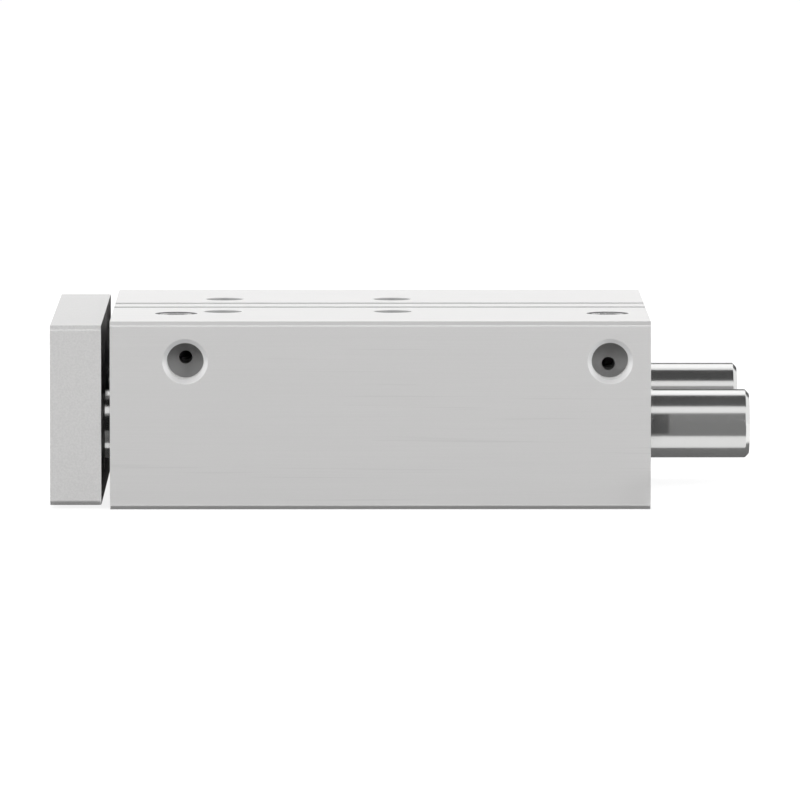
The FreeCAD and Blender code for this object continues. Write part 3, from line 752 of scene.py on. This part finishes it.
# Cards: lowest corner, highest corner, grey level and use. Metal mirrors a "shine" card, a "shade" card
# dims the light on matt surfaces, "both" does both, and a "screen" also keeps light out.
cards = {
    "ceilingShade": ((-1.2, -0.45, 0.61), (1.2, 0.30, 0.61), 0.05, "shade"),
    "frontShade": ((-1.3, -1.2, 0.0004), (1.3, -0.0525, 0.0004), 0.40, "shade"),
    "footShade": ((-0.0605, -0.0555, 0.00005), (0.0805, 0.0555, 0.00005), 0.06, "shade"),
    "topCard": ((0.0, -0.33, 0.60), (1.0, 0.22, 0.60), 0.02, "shine"),
    "topLeftCard": ((-1.0, -0.33, 0.60), (0.0, 0.22, 0.60), 0.25, "shine"),
    "cameraCard": ((-0.52, -1.2, 0.0), (0.48, -1.2, 0.98), 0.16, "shine"),
    "frontFloorCard": ((-0.52, -1.2, 0.0006), (0.48, -0.4, 0.0006), 0.16, "shine"),
    "nearFloorCard": ((-0.4, -0.4, 0.0006), (0.5, -0.066, 0.0006), 0.16, "shine"),
    "frontStripCard": ((-0.4, -0.066, 0.0006), (0.0795, -0.053, 0.0006), 0.13, "shine"),
    "cornerCard": ((0.0803, -0.066, 0.0), (0.0803, -0.0525, 0.009), 0.13, "shine"),
    "blockCard": ((-0.046, -0.053, 0.0001), (0.080, 0.053, 0.0001), 0.10, "shine"),
    "yokeCard": ((-0.062, -0.053, 0.0001), (-0.048, 0.053, 0.0001), 0.09, "shine"),
    "rodCard": ((0.080, -0.046, 0.0004), (0.127, 0.046, 0.0004), 0.15, "shine"),
    "rodFrontCard": ((0.0805, -0.066, 0.0005), (0.30, -0.046, 0.0005), 0.92, "shine"),
    "backCard": ((-1.6, 1.5, 0.0), (1.6, 1.5, 0.75), 0.97, "shine"),
    "highBackCard": ((-1.4, 1.3, 0.93), (1.4, 1.3, 2.4), 1.28, "shine"),
    "nearRodCard": ((0.081, -0.0303, 0.0276), (0.112, -0.0303, 0.0316), 0.04, "shine"),
    "betweenRodsCard": ((0.081, 0.0275, 0.0222), (0.112, 0.0275, 0.0254), 0.31, "shine"),
    "farRodCard": ((0.081, 0.0477, 0.0276), (0.112, 0.0477, 0.0316), 0.025, "shine"),
    "rodFlag": ((0.0801, -0.0522, 0.014), (0.0845, -0.0522, 0.0265), 0.03, "shine"),
    "gapCard": ((-0.0482, 0.0524, 0.0), (-0.0458, 0.0524, 0.0425), 0.0, "both"),
    "gapLid": ((-0.04795, -0.0509, 0.0429), (-0.04605, 0.0515, 0.0429), 0.0, "screen"),
    "gapScreen": ((-0.04795, -0.0509, 0.0012), (-0.04605, -0.0509, 0.0428), 0.035, "screen"),
    "gapFloorCard": ((-0.048, -0.046, 0.0001), (-0.046, 0.053, 0.0001), 0.05, "shine"),
    "gapEdgeCard": ((-0.048, -0.055, 0.0429), (-0.0473, 0.0535, 0.0429), 0.0, "shine"),
    "gapFrontCard": ((-0.048, -0.0515, 0.0165), (-0.046, -0.0515, 0.0245), 0.01, "shine"),
    "gapTopCard": ((-0.048, -0.055, 0.0429), (-0.046, -0.0425, 0.0429), 0.01, "shine"),
    "gapInnerCard": ((-0.048, -0.0125, 0.0429), (-0.046, -0.003, 0.0429), 0.01, "shine"),
}


def seenRay(finish):                    # 1 for what the camera, metal and glass see directly
    seen = 0.0
    for kind in ("Is Camera Ray", "Is Glossy Ray", "Is Transmission Ray"):
        ray = finish.add("LightPath", {}, {}, kind)
        seen = finish.add("Math", {"operation": "MAXIMUM"}, {0: seen, 1: ray})
    return seen


def flatSheet(name, low, high, material):       # a rectangle between two corners, flat in one direction
    spans = [axis for axis in range(3) if high[axis] > low[axis]]
    bm = bmesh.new()
    corners = []
    for first, second in ((0, 0), (1, 0), (1, 1), (0, 1)):
        point = list(low)
        point[spans[0]] = (low, high)[first][spans[0]]
        point[spans[1]] = (low, high)[second][spans[1]]
        corners.append(bm.verts.new(point))
    bm.faces.new(corners)
    mesh = bpy.data.meshes.new(name)
    bm.to_mesh(mesh)
    bm.free()
    sheet = bpy.data.objects.new(name, mesh)
    bpy.context.scene.collection.objects.link(sheet)
    mesh.materials.append(material)
    return sheet


def buildWorld():
    world = bpy.data.worlds.new("studioWorld")
    bpy.context.scene.world = world
    finish = Finish(world)
    white = finish.add("Background", {}, {"Color": grey(1), "Strength": 1.0})
    light = finish.add("Background", {}, {"Color": grey(1), "Strength": studio["worldLight"]})
    both = finish.add("MixShader", {}, {0: seenRay(finish), 1: light, 2: white})
    finish.add("OutputWorld", {}, {"Surface": both})


def buildFloor():
    finish = Finish(bpy.data.materials.new("paleFloor"))
    matt = finish.add("BsdfDiffuse", {}, {"Color": grey(studio["floorLevel"])})
    white = finish.add("Emission", {}, {"Color": grey(1), "Strength": studio["floorStrength"]})
    both = finish.add("MixShader", {}, {0: seenRay(finish) * studio["floorWhite"], 1: matt, 2: white})
    finish.add("OutputMaterial", {}, {"Surface": both})
    half = studio["floorHalf"]
    flatSheet("studioFloor", (-half, -half, 0), (half, half, 0), finish.owner)


def buildCard(name, low, high, level, use):
    finish = Finish(bpy.data.materials.new(name))
    glow = finish.add("Emission", {}, {"Color": grey(level), "Strength": 1.0})
    finish.add("OutputMaterial", {}, {"Surface": glow})
    card = flatSheet(name, low, high, finish.owner)
    card.visible_camera = False
    card.visible_shadow = use == "screen"
    card.visible_glossy = use in ("shine", "both")
    card.visible_diffuse = use != "shine"


def buildLamp(name, place, size, power):
    lamp = bpy.data.lights.new(name, "AREA")
    lamp.shape, lamp.energy = "RECTANGLE", power
    lamp.size, lamp.size_y = size
    holder = bpy.data.objects.new(name, lamp)
    holder.location = place
    holder.rotation_euler = (-Vector(place)).to_track_quat("-Z", "Y").to_euler()
    holder.visible_glossy = False
    bpy.context.scene.collection.objects.link(holder)


lens = {                                # found from the block's corners, the hole pitch and the rods' ends
    "place": (9.024 * mm, -2447.41 * mm, 225.287 * mm), "turn": 0.005234, "dip": 0.083129,
    "length": 464.66, "sensor": 36, "nearest": 0.05, "farthest": 100,
}


def buildCamera():
    camera = bpy.data.cameras.new("photoCamera")
    camera.lens, camera.sensor_width, camera.sensor_fit = lens["length"], lens["sensor"], "HORIZONTAL"
    camera.clip_start, camera.clip_end = lens["nearest"], lens["farthest"]
    holder = bpy.data.objects.new("photoCamera", camera)
    holder.location = lens["place"]
    turn, dip = lens["turn"], lens["dip"]
    ahead = Vector((math.sin(turn) * math.cos(dip), math.cos(turn) * math.cos(dip), -math.sin(dip)))
    holder.rotation_euler = ahead.to_track_quat("-Z", "Y").to_euler()
    bpy.context.scene.collection.objects.link(holder)
    bpy.context.scene.camera = holder
    bpy.context.scene.view_settings.view_transform = "Standard"
    print("camera placed")


buildWorld()
buildFloor()
for cardName, cardSizes in cards.items():
    buildCard(cardName, *cardSizes)
for lampName, lampSizes in lamps.items():
    buildLamp(lampName, **lampSizes)
print("studio built:", len(cards), "cards and", len(lamps), "lamps")
buildCamera()
